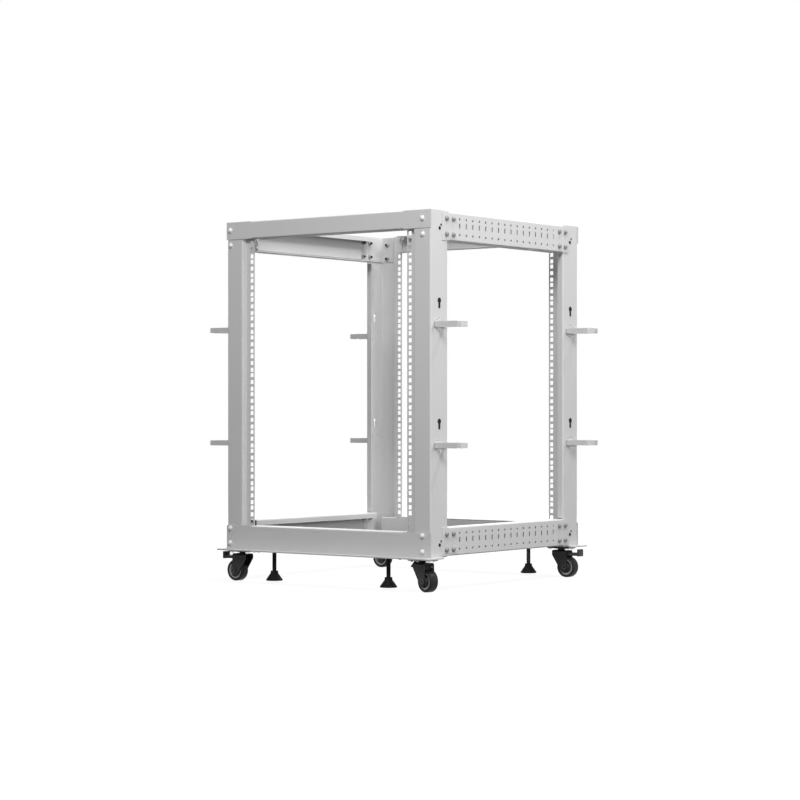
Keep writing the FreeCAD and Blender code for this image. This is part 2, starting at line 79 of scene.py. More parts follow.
def coat_group():
    """Baked coating: a fine peel in the height, slow drifts of tone, and a sheen that varies a little."""
    tree, given, result = new_group(
        "baked_coat",
        {"Colour": "NodeSocketColor", "Peel Scale": "NodeSocketFloat", "Drift": "NodeSocketFloat",
         "Gloss Low": "NodeSocketFloat", "Gloss High": "NodeSocketFloat"},
        {"Colour": "NodeSocketColor", "Roughness": "NodeSocketFloat", "Height": "NodeSocketFloat"},
    )
    place = add_node(tree, "ShaderNodeTexCoord").outputs["Object"]
    peel = add_node(tree, "ShaderNodeTexNoise", {"Detail": 2.0, "Roughness": 0.55},
                    {"Vector": place, "Scale": given.outputs["Peel Scale"]})
    drift = add_node(tree, "ShaderNodeTexNoise", {"Scale": 5.0, "Detail": 3.0}, {"Vector": place})
    swing = add_node(tree, "ShaderNodeMath", {1: 0.5}, {0: drift.outputs["Fac"]}, operation="SUBTRACT")
    share = add_node(tree, "ShaderNodeMath", {2: 1.0}, {0: swing.outputs[0], 1: given.outputs["Drift"]},
                     operation="MULTIPLY_ADD")
    tone = add_node(tree, "ShaderNodeVectorMath", {}, {0: given.outputs["Colour"], "Scale": share.outputs[0]},
                    operation="SCALE")
    sheen = add_node(tree, "ShaderNodeTexNoise", {"Scale": 90.0, "Detail": 2.0}, {"Vector": place})
    gloss = add_node(tree, "ShaderNodeMapRange", {}, {
        "Value": sheen.outputs["Fac"],
        "To Min": given.outputs["Gloss Low"],
        "To Max": given.outputs["Gloss High"],
    })
    tree.links.new(tone.outputs[0], result.inputs["Colour"])
    tree.links.new(gloss.outputs[0], result.inputs["Roughness"])
    tree.links.new(peel.outputs["Fac"], result.inputs["Height"])
    return tree


def new_material(name):
    """Empty node material, with its tree and its shader."""
    material = bpy.data.materials.new(name)
    material.use_nodes = True
    tree = material.node_tree
    return material, tree, tree.nodes["Principled BSDF"]


def wire_shader(tree, shader, colour, roughness, normal):
    """Feed a shader its colour, its roughness and its normal."""
    tree.links.new(colour, shader.inputs["Base Color"])
    tree.links.new(roughness, shader.inputs["Roughness"])
    tree.links.new(normal, shader.inputs["Normal"])


baked_coat = coat_group()


def coated_metal(name, colour, gloss, drift=0.05, peel_scale=900.0, peel_depth=0.00008, specular=0.03):
    """Coated metal or grained plastic: colour and sheen from the baked coat group, and its peel as a bump."""
    material, tree, shader = new_material(name)
    coat = add_node(tree, "ShaderNodeGroup", node_tree=baked_coat)
    coat.inputs["Colour"].default_value = (*colour, 1.0)
    coat.inputs["Peel Scale"].default_value = peel_scale
    coat.inputs["Drift"].default_value = drift
    coat.inputs["Gloss Low"].default_value, coat.inputs["Gloss High"].default_value = gloss
    bump = add_node(tree, "ShaderNodeBump", {"Strength": 0.5, "Distance": peel_depth},
                    {"Height": coat.outputs["Height"]})
    shader.inputs["Specular IOR Level"].default_value = specular
    wire_shader(tree, shader, coat.outputs["Colour"], coat.outputs["Roughness"], bump.outputs["Normal"])
    return material


def dress(names, material):
    """Give CAD nodes a material."""
    for name in names:
        for slot in nodes[name].material_slots:
            slot.material = material


frame_grey = (0.62, 0.62, 0.62)
post_coat = coated_metal("post_powder_coat", frame_grey, gloss=(0.58, 0.7))
dress([f"post_{corner}" for corner in corners], post_coat)


# Front and rear rails: shallow channels folded from thinner sheet, coated like the posts.
# Their webs lap over the post faces at each end, where screws go through both.
cross_rail_coat = coated_metal("cross_rail_powder_coat", frame_grey, gloss=(0.58, 0.7))
dress([f"{level}_rail_{end}" for level in ("top", "bottom") for end in ("front", "rear")], cross_rail_coat)


# Side rails: lipped channels with a punched grid that sets the depth of the rack, coated after punching.
# The coat draws back a little from the punched edges, so it is a touch glossier here.
side_rail_coat = coated_metal("side_rail_powder_coat", frame_grey, gloss=(0.55, 0.68))
side_rails = [f"side_rail_{level}_{side}" for level in ("top", "bottom") for side in ("left", "right")]
dress(side_rails, side_rail_coat)


# Rail liners: plain channels of the same sheet behind the hole grids, welded inside the rails' webs.
# They are coated in place, where less powder reaches, so their sheen is a little duller, and their grey is a
# little darker as painted shade in the recess behind the holes.
liner_shaded_coat = coated_metal("liner_shaded_powder_coat", (0.58, 0.58, 0.58), gloss=(0.62, 0.74), drift=0.08)
dress([f"rail_liners_{level}" for level in ("top", "bottom")], liner_shaded_coat)


# Corner brackets: thick angles inside the posts that tie the side rails to the front and rear rails.
# They are pressed with a joggle and coated with the rest of the frame.
bracket_coat = coated_metal("bracket_powder_coat", (0.6, 0.6, 0.6), gloss=(0.6, 0.72))
dress([f"corner_brackets_{level}" for level in ("top", "bottom")], bracket_coat)


# Frame bolts: zinc plated steel, with a plain cup head outside and a nut on the thread inside.
# Four hold each end of a side rail and two hold each corner of the front and rear rails.
# The rolled threads stick out of the nuts, coloured near black.


def plated_group():
    """Plating on steel: cloudy passivation in the colour and fine draw marks in the sheen."""
    tree, given, result = new_group(
        "plated_finish",
        {"Colour": "NodeSocketColor", "Cloud": "NodeSocketColor", "Cloud Scale": "NodeSocketFloat",
         "Gloss Low": "NodeSocketFloat", "Gloss High": "NodeSocketFloat"},
        {"Colour": "NodeSocketColor", "Roughness": "NodeSocketFloat", "Height": "NodeSocketFloat"},
    )
    place = add_node(tree, "ShaderNodeTexCoord").outputs["Object"]
    cloud = add_node(tree, "ShaderNodeTexNoise", {"Detail": 3.0},
                     {"Vector": place, "Scale": given.outputs["Cloud Scale"]})
    tone = add_node(tree, "ShaderNodeMix", {}, {
        "Factor": cloud.outputs["Fac"],
        "A": given.outputs["Colour"],
        "B": given.outputs["Cloud"],
    }, data_type="RGBA")
    marks = add_node(tree, "ShaderNodeTexNoise", {"Scale": 1500.0, "Detail": 2.0}, {"Vector": place})
    sheen = add_node(tree, "ShaderNodeMapRange", {}, {
        "Value": marks.outputs["Fac"],
        "To Min": given.outputs["Gloss Low"],
        "To Max": given.outputs["Gloss High"],
    })
    tree.links.new(tone.outputs["Result"], result.inputs["Colour"])
    tree.links.new(sheen.outputs[0], result.inputs["Roughness"])
    tree.links.new(marks.outputs["Fac"], result.inputs["Height"])
    return tree


plated_finish = plated_group()


def plated_steel(name, colour, cloud, metallic, gloss):
    """Plated fastener steel: bright, darker as painted shade, or near black."""
    material, tree, shader = new_material(name)
    plating = add_node(tree, "ShaderNodeGroup", node_tree=plated_finish)
    plating.inputs["Colour"].default_value = (*colour, 1.0)
    plating.inputs["Cloud"].default_value = (*cloud, 1.0)
    plating.inputs["Cloud Scale"].default_value = 220.0
    plating.inputs["Gloss Low"].default_value, plating.inputs["Gloss High"].default_value = gloss
    bump = add_node(tree, "ShaderNodeBump", {"Strength": 0.3, "Distance": 0.00004},
                    {"Height": plating.outputs["Height"]})
    shader.inputs["Metallic"].default_value = metallic
    wire_shader(tree, shader, plating.outputs["Colour"], plating.outputs["Roughness"], bump.outputs["Normal"])
    return material


def geometry_tree(name, sizes):
    """Geometry tree with named sizes and a finish, with the sockets that it is given."""
    tree = bpy.data.node_groups.new(name, "GeometryNodeTree")
    tree.interface.new_socket("Geometry", in_out="INPUT", socket_type="NodeSocketGeometry")
    for label in sizes:
        tree.interface.new_socket(label, in_out="INPUT", socket_type="NodeSocketFloat")
    tree.interface.new_socket("Finish", in_out="INPUT", socket_type="NodeSocketMaterial")
    tree.interface.new_socket("Geometry", in_out="OUTPUT", socket_type="NodeSocketGeometry")
    return tree, add_node(tree, "NodeGroupInput").outputs


def reckon(tree, operation, first, second):
    """Socket with the result of a sum on two sockets or numbers."""
    node = add_node(tree, "ShaderNodeMath", operation=operation)
    for place, term in enumerate((first, second)):
        if isinstance(term, bpy.types.NodeSocket):
            tree.links.new(term, node.inputs[place])
        else:
            node.inputs[place].default_value = term
    return node.outputs[0]


def frustum(tree, sides, low_radius, high_radius, depth, base):
    """Mesh of a round or six-sided frustum that stands at a height along the axis."""
    solid = add_node(tree, "GeometryNodeMeshCone", {"Vertices": sides}, {
        "Radius Bottom": low_radius,
        "Radius Top": high_radius,
        "Depth": depth,
    })
    lift = add_node(tree, "ShaderNodeCombineXYZ", {}, {"Z": base} if base else {})
    moved = add_node(tree, "GeometryNodeTransform", {}, {
        "Geometry": solid.outputs["Mesh"],
        "Translation": lift.outputs[0],
    })
    return moved.outputs["Geometry"]


def seat_on_points(tree, given, shapes):
    """Seat the joined shapes on every point, along its axis and turned by a fixed chance; ends the tree."""
    stack = add_node(tree, "GeometryNodeJoinGeometry")
    for shape in shapes:
        tree.links.new(shape, stack.inputs["Geometry"])
    axis = add_node(tree, "GeometryNodeInputNamedAttribute", {"Name": "axis"}, data_type="FLOAT_VECTOR")
    facing = add_node(tree, "FunctionNodeAlignRotationToVector", {}, {
        "Vector": axis.outputs["Attribute"],
    }, axis="Z")
    float_max, float_value = 3, 1
    sixth_of_turn = math.pi / 3
    chance = add_node(tree, "FunctionNodeRandomValue", {float_max: sixth_of_turn, "Seed": 7},
                      data_type="FLOAT")
    turn = add_node(tree, "FunctionNodeAxisAngleToRotation", {"Axis": (0, 0, 1)}, {
        "Angle": chance.outputs[float_value],
    })
    spun = add_node(tree, "FunctionNodeRotateRotation", {}, {
        "Rotation": facing.outputs["Rotation"],
        "Rotate By": turn.outputs["Rotation"],
    }, rotation_space="LOCAL")
    seated = add_node(tree, "GeometryNodeInstanceOnPoints", {}, {
        "Points": given["Geometry"],
        "Instance": stack.outputs["Geometry"],
        "Rotation": spun.outputs["Rotation"],
    })
    real = add_node(tree, "GeometryNodeRealizeInstances", {}, {"Geometry": seated.outputs["Instances"]})
    painted = add_node(tree, "GeometryNodeSetMaterial", {}, {
        "Geometry": real.outputs["Geometry"],
        "Material": given["Finish"],
    })
    add_node(tree, "NodeGroupOutput", {}, {"Geometry": painted.outputs["Geometry"]})


def cup_head_tree():
    """Tree for a thin rim and a smooth dome on each point."""
    tree, given = geometry_tree("cup_head", ("Rim Radius", "Rim Thickness", "Dome Radius", "Dome Rise"))
    sides = 28
    ball = add_node(tree, "GeometryNodeMeshUVSphere", {"Segments": sides, "Rings": sides // 2, "Radius": 1.0})
    smooth = add_node(tree, "GeometryNodeSetShadeSmooth", {}, {"Geometry": ball.outputs["Mesh"]})
    swell = add_node(tree, "ShaderNodeCombineXYZ", {}, {
        "X": given["Dome Radius"],
        "Y": given["Dome Radius"],
        "Z": given["Dome Rise"],
    })
    lift = add_node(tree, "ShaderNodeCombineXYZ", {}, {"Z": given["Rim Thickness"]})
    dome = add_node(tree, "GeometryNodeTransform", {}, {
        "Geometry": smooth.outputs["Geometry"],
        "Translation": lift.outputs[0],
        "Scale": swell.outputs[0],
    })
    rim = frustum(tree, sides, given["Rim Radius"], given["Dome Radius"], given["Rim Thickness"], None)
    seat_on_points(tree, given, (rim, dome.outputs["Geometry"]))
    return tree


def hex_fastener_tree():
    """Tree for a flange, a chamfered hexagon and a low crown on each point."""
    tree, given = geometry_tree("hex_fastener", (
        "Flange Radius", "Flange Thickness", "Across Flats", "Hex Height", "Chamfer",
        "Crown Radius", "Crown Rise",
    ))
    flange_taper, crown_taper = 0.93, 0.85
    flange_sides, hex_sides, crown_sides = 20, 6, 16
    corner = reckon(tree, "MULTIPLY", given["Across Flats"], 1 / math.sqrt(3))
    land = reckon(tree, "SUBTRACT", corner, given["Chamfer"])
    flange_rim = reckon(tree, "MULTIPLY", given["Flange Radius"], flange_taper)
    prism = reckon(tree, "SUBTRACT", given["Hex Height"], given["Chamfer"])
    shoulder = reckon(tree, "ADD", given["Flange Thickness"], prism)
    top = reckon(tree, "ADD", given["Flange Thickness"], given["Hex Height"])
    crown_rim = reckon(tree, "MULTIPLY", given["Crown Radius"], crown_taper)
    seat_on_points(tree, given, (
        frustum(tree, flange_sides, given["Flange Radius"], flange_rim, given["Flange Thickness"], None),
        frustum(tree, hex_sides, corner, corner, prism, given["Flange Thickness"]),
        frustum(tree, hex_sides, corner, land, given["Chamfer"], shoulder),
        frustum(tree, crown_sides, given["Crown Radius"], crown_rim, given["Crown Rise"], top),
    ))
    return tree


def screw_thread_tree():
    """Tree for a threaded rod on each point: a core with a spiral ridge and a chamfered end."""
    tree, given = geometry_tree("screw_thread", ("Core Radius", "Crest Radius", "Pitch", "Length", "Chamfer"))
    ridge_share = 0.48
    core_sides = 24
    ridge = reckon(tree, "MULTIPLY", given["Pitch"], ridge_share)
    path_radius = reckon(tree, "SUBTRACT", given["Crest Radius"], ridge)
    run = reckon(tree, "SUBTRACT", given["Length"], given["Pitch"])
    turns = reckon(tree, "DIVIDE", run, given["Pitch"])
    spiral = add_node(tree, "GeometryNodeCurveSpiral", {"Resolution": 18}, {
        "Rotations": turns,
        "Start Radius": path_radius,
        "End Radius": path_radius,
        "Height": run,
    })
    upright = add_node(tree, "GeometryNodeSetCurveNormal", {}, {
        "Curve": spiral.outputs["Curve"],
    }, mode="Z_UP")
    profile = add_node(tree, "GeometryNodeCurvePrimitiveCircle", {"Resolution": 4}, {"Radius": ridge})
    swept = add_node(tree, "GeometryNodeCurveToMesh", {"Fill Caps": True}, {
        "Curve": upright.outputs["Curve"],
        "Profile Curve": profile.outputs["Curve"],
    })
    half_pitch = reckon(tree, "MULTIPLY", given["Pitch"], 0.5)
    lift = add_node(tree, "ShaderNodeCombineXYZ", {}, {"Z": half_pitch})
    thread = add_node(tree, "GeometryNodeTransform", {}, {
        "Geometry": swept.outputs["Mesh"],
        "Translation": lift.outputs[0],
    })
    end_radius = reckon(tree, "SUBTRACT", given["Core Radius"], given["Chamfer"])
    seat_on_points(tree, given, (
        thread.outputs["Geometry"],
        frustum(tree, core_sides, given["Core Radius"], given["Core Radius"], given["Length"], None),
        frustum(tree, core_sides, given["Core Radius"], end_radius, given["Chamfer"], given["Length"]),
    ))
    return tree


cup_head = cup_head_tree()
hex_fastener = hex_fastener_tree()
screw_thread = screw_thread_tree()


def run_tree(piece, tree, values):
    """Run a geometry tree on an object with its inputs set, and keep the result as a plain mesh."""
    modifier = piece.modifiers.new(tree.name, "NODES")
    modifier.node_group = tree
    for item in tree.interface.items_tree:
        if item.in_out == "INPUT" and item.name in values:
            modifier[item.identifier] = values[item.name]
    drawn = piece.evaluated_get(bpy.context.evaluated_depsgraph_get())
    mesh = bpy.data.meshes.new_from_object(drawn)
    piece.modifiers.remove(modifier)
    shell = bmesh.new()
    shell.from_mesh(mesh)
    bmesh.ops.recalc_face_normals(shell, faces=shell.faces)
    shell.to_mesh(mesh)
    shell.free()
    piece.data = mesh


def fasteners(name, tree, seats, values, body):
    """One mesh of like fasteners, each on a seat given as a point and the way it faces."""
    mesh = bpy.data.meshes.new(name)
    mesh.from_pydata([point for point, way in seats], [], [])
    axis = mesh.attributes.new("axis", "FLOAT_VECTOR", "POINT")
    axis.data.foreach_set("vector", [part for point, way in seats for part in way])
    piece = bpy.data.objects.new(name, mesh)
    bpy.context.scene.collection.objects.link(piece)
    run_tree(piece, tree, values)
    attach(piece, body)


bright_zinc = plated_steel("bright_zinc_plate", (0.74, 0.745, 0.75), cloud=(0.64, 0.645, 0.65),
                           metallic=0.1, gloss=(0.3, 0.45))
# The heads on the rails' sides take a darker copy of the heads' zinc, as painted shade that darkens them.
shaded_zinc = plated_steel("shaded_zinc_plate", (0.27, 0.275, 0.28), cloud=(0.2, 0.205, 0.21),
                         metallic=0.1, gloss=(0.34, 0.5))
nut_zinc = plated_steel("nut_zinc_plate", (0.40, 0.405, 0.41), cloud=(0.32, 0.325, 0.33),
                        metallic=0.15, gloss=(0.36, 0.55))
# The thread ends and the small plate nuts are coloured near black.
thread_black = plated_steel("thread_black_plate", (0.02, 0.02, 0.021), cloud=(0.012, 0.012, 0.012),
                            metallic=0.2, gloss=(0.4, 0.6))
bolt_head = {"Rim Radius": 0.0060, "Rim Thickness": 0.0008, "Dome Radius": 0.0058, "Dome Rise": 0.0052}
bolt_nut = {"Flange Radius": 0.0060, "Flange Thickness": 0.0008, "Across Flats": 0.0090, "Hex Height": 0.0040,
            "Chamfer": 0.0006, "Crown Radius": 0.0034, "Crown Rise": 0.0002, "Finish": nut_zinc}
bolt_end = {"Core Radius": 0.00255, "Crest Radius": 0.0030, "Pitch": 0.0010, "Length": 0.0085,
            "Chamfer": 0.0006, "Finish": thread_black}
grid_pitch = 0.0254
first_column = 0.0152
row_offset = 0.0175
face_inset = 0.0175
face_shift = 0.0055
face_drop = 0.0027
bracket_sheet = 0.002
post_sheet = 0.002
gripped_sheets = post_sheet + bracket_sheet

side_seats = []
face_seats = []
nut_seats = []
for level in ("top", "bottom"):
    for side, sign in (("right", 1), ("left", -1)):
        low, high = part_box(f"side_rail_{level}_{side}")
        post_low, post_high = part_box(f"post_front_{side}")
        outside = high[0] if sign > 0 else low[0]
        wall = post_high[0] if sign > 0 else post_low[0]
        middle = (low[2] + high[2]) / 2
        for column, inside in ((0, wall - sign * gripped_sheets), (1, wall - sign * bracket_sheet)):
            for end in (-1, 1):
                y = end * (high[1] - first_column - column * grid_pitch)
                for row in (-row_offset, row_offset):
                    side_seats.append(((outside, y, middle + row), (sign, 0, 0)))
                    nut_seats.append(((inside, y, middle + row), (-sign, 0, 0)))
    rail_low, rail_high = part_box(f"side_rail_{level}_right")
    middle = (rail_low[2] + rail_high[2]) / 2 - face_drop
    for end, sign in (("front", -1), ("rear", 1)):
        low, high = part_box(f"{level}_rail_{end}")
        post_low, post_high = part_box(f"post_{end}_right")
        rail_face = high[1] if sign > 0 else low[1]
        post_face = post_high[1] if sign > 0 else post_low[1]
        for x in (low[0] + face_inset + sign * face_shift, high[0] - face_inset + sign * face_shift):
            for row in (-row_offset, row_offset):
                z = middle + row
                on_rail = low[2] < z < high[2]
                face_seats.append(((x, rail_face if on_rail else post_face, z), (0, sign, 0)))
                nut_seats.append(((x, post_face - sign * gripped_sheets, z), (0, -sign, 0)))
# Side heads wear the darker copy of the zinc as painted shade; face heads wear the plain zinc.
side_head = bolt_head | {"Finish": shaded_zinc}
face_head = bolt_head | {"Finish": bright_zinc}
fasteners("side_bolt_heads", cup_head, side_seats, side_head, "frame")
fasteners("face_bolt_heads", cup_head, face_seats, face_head, "frame")
fasteners("frame_bolt_nuts", hex_fastener, nut_seats, bolt_nut, "frame")
fasteners("frame_bolt_ends", screw_thread, nut_seats, bolt_end, "frame")


# Hole caps: black moulded caps pushed into the unused holes in the walls of the right-hand posts.
# Each has a thin rim on the wall and a shank through it; the keyhole caps follow the keyhole's outline.


def ring(radius, count, start=0.0, sweep=2 * math.pi):
    """Points round a circle or along an arc, in two dimensions."""
    return [
        (radius * math.cos(start + sweep * step / count), radius * math.sin(start + sweep * step / count))
        for step in range(count)
    ]


def keyhole_outline(head_radius, tail_half_width, tail_end):
    """Keyhole seen along the wall's axis: a round head, and a straight tail that hangs down to its end."""
    shoulder = math.asin(tail_half_width / head_radius)
    arc = ring(head_radius, 24, -math.pi / 2 + shoulder, 2 * math.pi - 2 * shoulder)
    arc.append((-tail_half_width, -head_radius * math.cos(shoulder)))
    return arc + [(-tail_half_width, -tail_end), (tail_half_width, -tail_end)]


def loft(rows, hollow=False):
    """Points and faces of a closed form through rings of points, with flat ends or, hollow, joined round."""
    count = len(rows[0])
    points = [point for row in rows for point in row]
    faces = []
    for row in range(len(rows) if hollow else len(rows) - 1):
        low, high = row * count, (row + 1) % len(rows) * count
        for step in range(count):
            after = (step + 1) % count
            faces.append((low + step, low + after, high + after, high + step))
    if not hollow:
        faces.append(tuple(range(count))[::-1])
        faces.append(tuple((len(rows) - 1) * count + step for step in range(count)))
    return points, faces


def moulded_piece(name, forms, material, smooth_angle=math.radians(30)):
    """One mesh of lofted forms with a material, smooth up to an angle between faces."""
    points = []
    faces = []
    for form_points, form_faces in forms:
        faces += [tuple(len(points) + index for index in face) for face in form_faces]
        points += form_points
    mesh = bpy.data.meshes.new(name)
    mesh.from_pydata(points, [], faces)
    shell = bmesh.new()
    shell.from_mesh(mesh)
    bmesh.ops.recalc_face_normals(shell, faces=shell.faces)
    shell.to_mesh(mesh)
    shell.free()
    mesh.shade_smooth()
    mesh.set_sharp_from_angle(angle=smooth_angle)
    mesh.materials.append(material)
    piece = bpy.data.objects.new(name, mesh)
    bpy.context.scene.collection.objects.link(piece)
    return piece


cap_depth = 0.0026
cap_rise = 0.0008


def cap_form(outlines, wall, y, z):
    """Cap on the right wall at a hole, from the outlines of its shank, its rim and the rim's softened top."""
    shank, rim, rim_top = outlines
    steps = (
        (shank, -cap_depth), (shank, 0.0), (rim, 0.0), (rim, 0.5 * cap_rise), (rim_top, cap_rise),
    )
    rows = []
    for outline, out in steps:
        rows.append([(wall + out, y + across, z + up) for across, up in outline])
    return loft(rows)


keyhole_heights = (0.378, 0.646)
keyhole_cap = (
    keyhole_outline(head_radius=0.0046, tail_half_width=0.0023, tail_end=0.0168),
    keyhole_outline(head_radius=0.0062, tail_half_width=0.0033, tail_end=0.0175),
    keyhole_outline(head_radius=0.0058, tail_half_width=0.0029, tail_end=0.0172),
)
end_hole_cap = [ring(radius, count=24) for radius in (0.0034, 0.0040, 0.0036)]
pilot_cap = [ring(radius, count=16) for radius in (0.0019, 0.0025, 0.0021)]
end_hole_y = 0.265
end_hole_drop = 0.006
pilot_run = 0.005
pilot_rise = 0.008
cap_black = coated_metal("cap_black_plastic", (0.012, 0.012, 0.0125), gloss=(0.5, 0.65), drift=0.3,
                         peel_scale=600.0, peel_depth=0.00006, specular=0.1)
caps = []
for end, sign in (("front", -1), ("rear", 1)):
    post_low, post_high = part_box(f"post_{end}_right")
    wall = post_high[0]
    wall_middle = (post_low[1] + post_high[1]) / 2
    for height in keyhole_heights:
        caps.append(cap_form(keyhole_cap, wall, wall_middle, height))
    for level in ("top", "bottom"):
        rail_low, rail_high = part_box(f"side_rail_{level}_right")
        hole_z = (rail_low[2] + rail_high[2]) / 2 - end_hole_drop
        caps.append(cap_form(end_hole_cap, wall, sign * end_hole_y, hole_z))
        caps.append(cap_form(pilot_cap, wall, sign * end_hole_y + pilot_run, hole_z + pilot_rise))
hole_caps = moulded_piece("post_hole_caps", caps, cap_black, smooth_angle=math.radians(40))
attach(hole_caps, "frame")


# Cable hooks: strips of the same sheet bent round into open rings and fixed flat on the post sides.
# They are coated before fitting, with a slightly softer sheen.
hook_coat = coated_metal("hook_powder_coat", frame_grey, gloss=(0.6, 0.72))
dress([f"cable_hooks_{corner}" for corner in corners], hook_coat)


# Rail closers: folded channels of the rails' own sheet and coat that box in the bottom rails on the inside.
# Each is spot-welded between its rail's flanges, and its ends run on into the posts.
rail_sheet = 0.0015
closer_half_length = 0.270
closer_depth = 0.008
closer_bend = 0.003
closer_gap = 0.0001
closer_stand = 0.0002
bend_steps = 6
bend_arc = ring(closer_bend, bend_steps, -math.pi / 2, -math.pi / 2) + [(-closer_bend, 0.0)]
inner_share = 1.0 - rail_sheet / closer_bend
outer_fold = [(closer_depth, 0.0)]
outer_fold += [(closer_bend + out, closer_bend + up) for out, up in bend_arc]
inner_fold = [(closer_bend + inner_share * out, closer_bend + inner_share * up) for out, up in bend_arc[::-1]]
inner_fold.append((closer_depth, rail_sheet))
closers = []
for end, sign in (("front", -1), ("rear", 1)):
    low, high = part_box(f"bottom_rail_{end}")
    mouth = low[1] if sign > 0 else high[1]
    foot = low[2] + rail_sheet + closer_gap
    height = high[2] - rail_sheet - closer_gap - foot
    upper = [(out, height - up) for out, up in outer_fold[::-1] + inner_fold[::-1]]
    profile = outer_fold + upper + inner_fold
    closers.append(loft([
        [(x, mouth + sign * (out - closer_stand), foot + up) for out, up in profile]
        for x in (-closer_half_length, closer_half_length)
    ]))
rail_closers = moulded_piece("bottom_rail_closers", closers, cross_rail_coat)
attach(rail_closers, "frame")


# Base plates: flat bars with rounded corners under the front and rear rails, coated like the frame but in a
# slightly darker grey, as painted shade that tones down the light on their tops.
# They carry the casters and the levelling feet, and two small black nuts near each end hold them to the rail.
# A run of seam filler, coated over, closes the groove under each rail's lower bend.
plate_shaded_coat = coated_metal("plate_shaded_powder_coat", (0.57, 0.57, 0.57), gloss=(0.6, 0.72))
dress([f"base_plate_{end}" for end in ("front", "rear")], plate_shaded_coat)

plate_nut = {"Flange Radius": 0.0048, "Flange Thickness": 0.0006, "Across Flats": 0.0080,
             "Hex Height": 0.0028, "Chamfer": 0.0004, "Crown Radius": 0.0025, "Crown Rise": 0.0006,
             "Finish": thread_black}
plate_nut_places = ((0.208, 0.2905), (0.214, 0.272))
groove = 0.003
groove_bite = 0.0001
groove_half_length = 0.224
groove_steps = 8
groove_bend = ring(groove - groove_bite, groove_steps, math.pi, math.pi / 2) + [(0.0, groove_bite - groove)]
groove_profile = [(-groove, -groove), (-groove, 0.0), *groove_bend, (0.0, -groove)]
plate_nut_seats = []
seams = []
for end, sign in (("front", -1), ("rear", 1)):
    low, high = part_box(f"base_plate_{end}")
    for side in (-1, 1):
        for x, y in plate_nut_places:
            plate_nut_seats.append(((side * x, sign * y, low[2]), (0, 0, -1)))
    rail_low, rail_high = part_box(f"bottom_rail_{end}")
    rail_face = rail_high[1] if sign > 0 else rail_low[1]
    seams.append(loft([
        [(x, rail_face - sign * (groove + out), rail_low[2] + groove + up) for out, up in groove_profile]
        for x in (-groove_half_length, groove_half_length)
    ]))
fasteners("base_plate_nuts", hex_fastener, plate_nut_seats, plate_nut, "frame")
seam_filler = moulded_piece("rail_seam_filler", seams, cross_rail_coat)
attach(seam_filler, "frame")


# Caster plates: black pressed plates with the ball race and king pin, each on four studs of the base plate.
# The press turns a low edge down round each plate, and bright flange nuts hold it from below.
caster_black = coated_metal("caster_black_coat", (0.03, 0.03, 0.031), gloss=(0.4, 0.55), drift=0.3,
                            peel_scale=1300.0, peel_depth=0.00005, specular=0.15)
dress(["caster_plates"], caster_black)

stud_along = 0.024
stud_across = 0.013
stud_zinc = plated_steel("stud_zinc_plate", (0.86, 0.87, 0.88), cloud=(0.74, 0.75, 0.76),
                         metallic=1.0, gloss=(0.18, 0.34))
stud_nut = {"Flange Radius": 0.0056, "Flange Thickness": 0.0008, "Across Flats": 0.0090, "Hex Height": 0.0036,
            "Chamfer": 0.0004, "Crown Radius": 0.0028, "Crown Rise": 0.0004, "Finish": stud_zinc}
caster_plate_sheet = 0.0025
plate_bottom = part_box("caster_plates")[1][2] - caster_plate_sheet
swivels = {}
axles = {}
for joint in frame["joints"]:
    kind, _, corner = joint["name"].partition("_")
    if kind == "swivel":
        swivels[corner] = Vector(joint["pos_m"])
    elif kind == "wheel":
        axles[corner.removeprefix("spin_")] = (Vector(joint["pos_m"]), Vector(joint["axis"]))


def plate_outline(half_length, half_width, corner_radius):
    """Outline of a rectangle with round corners, about its middle."""
    outline = []
    for turn, (x, y) in enumerate(((1, 1), (-1, 1), (-1, -1), (1, -1))):
        middle_x = x * (half_length - corner_radius)
        middle_y = y * (half_width - corner_radius)
        for across, up in ring(corner_radius, bend_steps, turn * math.pi / 2, math.pi / 2):
            outline.append((middle_x + across, middle_y + up))
    return outline


edge_half_length = 0.0300
edge_half_width = 0.0210
edge_corner = 0.006
edge_sheet = 0.0018
edge_drop = 0.0014
stud_seats = []
turned_edges = []
for corner in corners:
    middle = swivels[corner]
    for along in (-stud_along, stud_along):
        for across in (-stud_across, stud_across):
            stud_seats.append(((middle.x + along, middle.y + across, plate_bottom), (0, 0, -1)))
    rows = []
    for inset, drop in ((0.0, 0.0), (0.0, edge_drop), (edge_sheet, edge_drop), (edge_sheet, 0.0)):
        outline = plate_outline(edge_half_length - inset, edge_half_width - inset, edge_corner - inset)
        rows.append([(middle.x + x, middle.y + y, plate_bottom - drop) for x, y in outline])
    turned_edges.append(loft(rows, hollow=True))
fasteners("caster_plate_nuts", hex_fastener, stud_seats, stud_nut, "frame")
plate_edges = moulded_piece("caster_plate_edges", turned_edges, caster_black, smooth_angle=math.radians(40))
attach(plate_edges, "frame")


# Forks, axles and brake pedals: pressed steel with a black coat, riveted on the wheel's hollow axle.
# The pedals are a shade duller where shoes rub them.
fork_black = coated_metal("fork_black_coat", (0.032, 0.032, 0.033), gloss=(0.38, 0.52), drift=0.3,
                          peel_scale=1300.0, peel_depth=0.00005, specular=0.2)
dress([f"caster_fork_{corner}" for corner in corners], fork_black)
axle_black = plated_steel("axle_black_plate", (0.03, 0.03, 0.031), cloud=(0.02, 0.02, 0.021),
                          metallic=0.3, gloss=(0.35, 0.5))
dress([f"caster_axle_{corner}" for corner in corners], axle_black)
pedal_black = coated_metal("pedal_black_coat", (0.04, 0.04, 0.041), gloss=(0.5, 0.65), drift=0.35,
                           peel_scale=1000.0, peel_depth=0.00006, specular=0.3)
dress([name for name in nodes if name.startswith("brake_pedal_")], pedal_black)


# Caster wheels: moulded nylon centres with a dark web and hub, turning on the axle.
# The rim stands proud of the web as a pale ring against the tyre.


